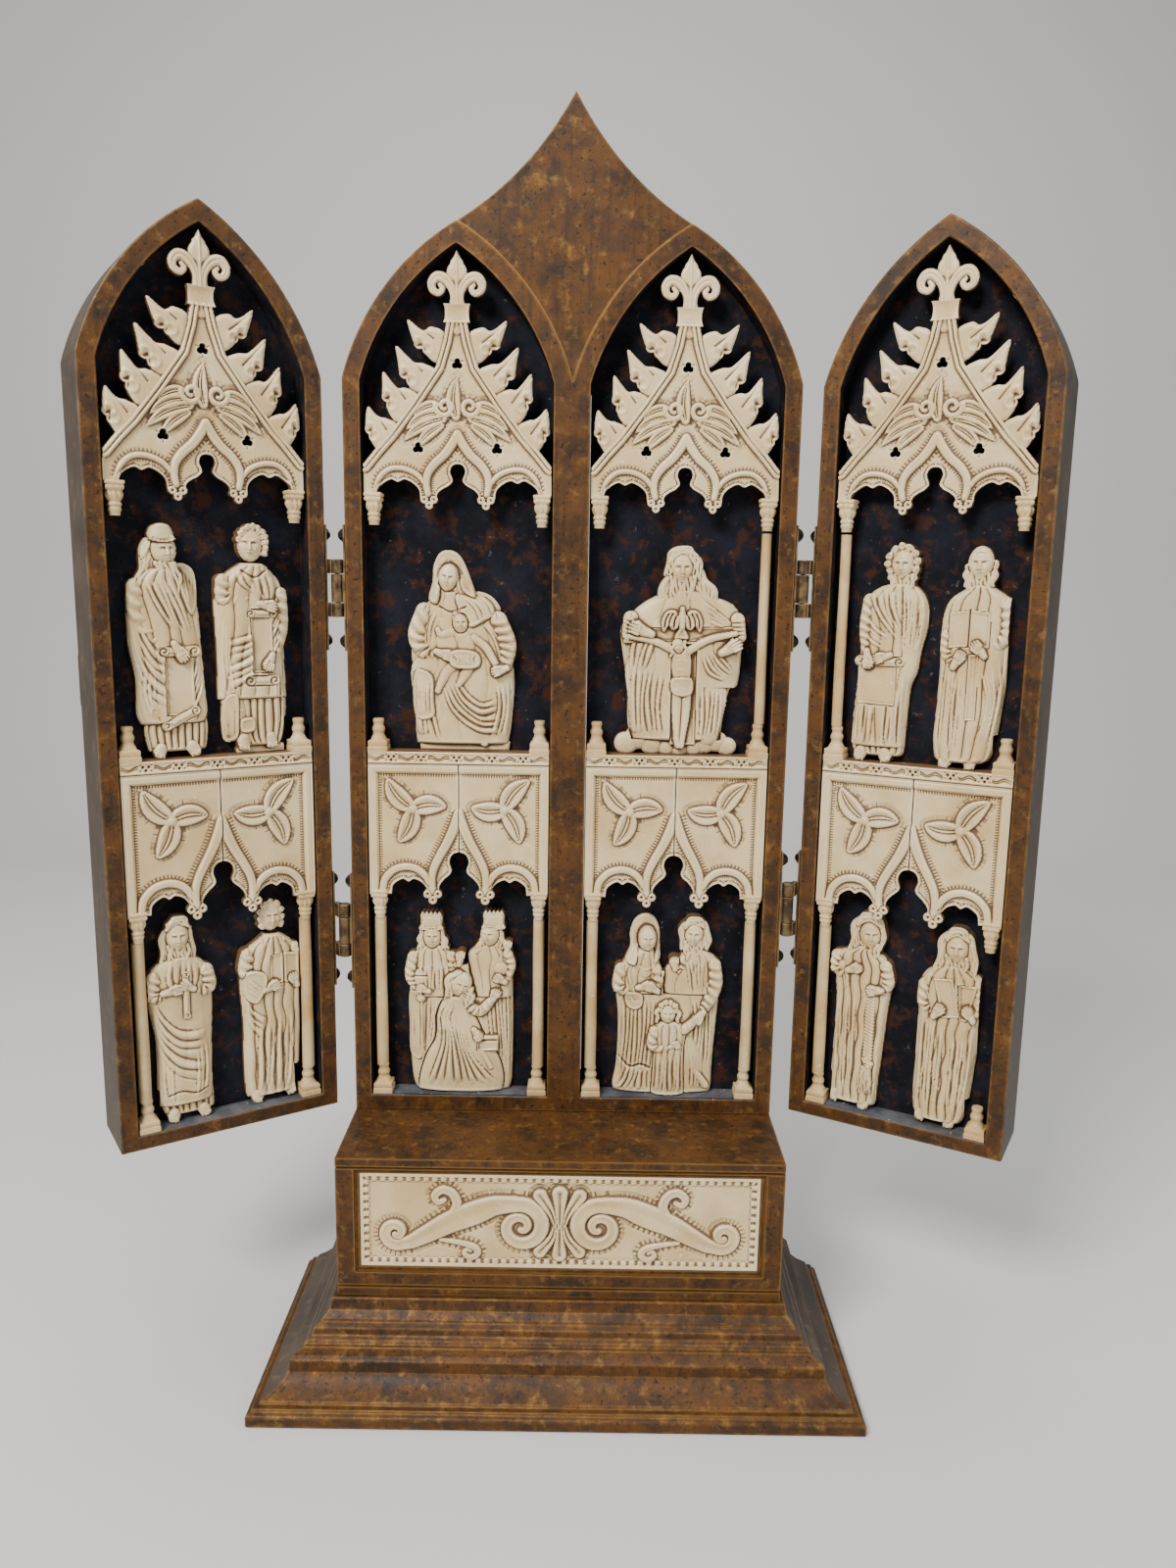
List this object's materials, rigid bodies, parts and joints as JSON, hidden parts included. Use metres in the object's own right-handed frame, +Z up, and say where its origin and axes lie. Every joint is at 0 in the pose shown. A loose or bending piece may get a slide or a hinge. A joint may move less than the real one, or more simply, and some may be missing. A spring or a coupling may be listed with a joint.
{
  "type": "triptych altarpiece",
  "caption": "Folding table altarpiece: an ogee-topped case of pointed bays on a moulded plinth, with hinged wings and carved tracery and relief figures",
  "frame": {"origin": "centre of the plinth's underside", "axes": "+X to the right as seen from the front, +Y towards the back, +Z up; the reliefs face -Y"},
  "size_m": [0.5951, 0.1616, 0.7867],
  "materials": {
    "gilt_wood": "worn gilding",
    "dark_board": "old dark paint",
    "carved_cream": "rubbed, brown in the cuts",
    "old_brass": "dull, dark patina"
  },
  "bodies": {
    "centre": {"plinth": "gilt_wood", "pedestal": "gilt_wood", "predella_panel": "carved_cream", "centre_frame": "gilt_wood", "centre_left_back_board": "dark_board", "centre_left_gable": "carved_cream", "centre_left_ledge": "carved_cream", "centre_left_arcade_left_half": "carved_cream", "centre_left_arcade_right_half": "carved_cream", "centre_left_lower_column_left": "carved_cream", "centre_left_lower_column_right": "carved_cream", "centre_left_hinge_leaf_lower": "old_brass", "centre_left_hinge_leaf_upper": "old_brass", "centre_right_back_board": "dark_board", "centre_right_gable": "carved_cream", "centre_right_ledge": "carved_cream", "centre_right_arcade_left_half": "carved_cream", "centre_right_arcade_right_half": "carved_cream", "centre_right_lower_column_left": "carved_cream", "centre_right_lower_column_right": "carved_cream", "centre_right_hinge_leaf_lower": "old_brass", "centre_right_hinge_leaf_upper": "old_brass", "centre_right_upper_shaft": "carved_cream", "seated_mother_and_child": "carved_cream", "enthroned_elder_with_cross": "carved_cream", "crowned_visitors": "carved_cream", "family_group": "carved_cream"},
    "left_wing": {"left_wing_frame": "gilt_wood", "left_wing_back_board": "dark_board", "left_wing_gable": "carved_cream", "left_wing_ledge": "carved_cream", "left_wing_arcade_left_half": "carved_cream", "left_wing_arcade_right_half": "carved_cream", "left_wing_hinge_leaf_lower": "old_brass", "left_wing_hinge_leaf_upper": "old_brass", "left_wing_lower_column_left": "carved_cream", "left_wing_lower_column_right": "carved_cream", "left_wing_clasp": "old_brass", "elder_with_scroll": "carved_cream", "youth_with_scroll": "carved_cream", "bearded_man_with_small_roll": "carved_cream", "beardless_man_with_book": "carved_cream"},
    "right_wing": {"right_wing_frame": "gilt_wood", "right_wing_back_board": "dark_board", "right_wing_gable": "carved_cream", "right_wing_ledge": "carved_cream", "right_wing_arcade_left_half": "carved_cream", "right_wing_arcade_right_half": "carved_cream", "right_wing_hinge_leaf_lower": "old_brass", "right_wing_hinge_leaf_upper": "old_brass", "right_wing_lower_column_left": "carved_cream", "right_wing_lower_base_right": "carved_cream", "right_wing_upper_shaft": "carved_cream", "curly_elder_with_scroll": "carved_cream", "bald_elder_with_book": "carved_cream", "man_with_cord": "carved_cream", "man_with_two_tablets": "carved_cream"}
  },
  "joints": [
    {"name": "left_wing_hinge", "type": "hinge", "parent": "centre", "child": "left_wing", "pos_m": [-0.146, 0.0384, 0.38], "axis": [0, 0, 1], "range_deg": [-30, 146.8]},
    {"name": "right_wing_hinge", "type": "hinge", "parent": "centre", "child": "right_wing", "pos_m": [0.146, 0.0384, 0.38], "axis": [0, 0, -1], "range_deg": [-26, 150.6]}
  ]
}
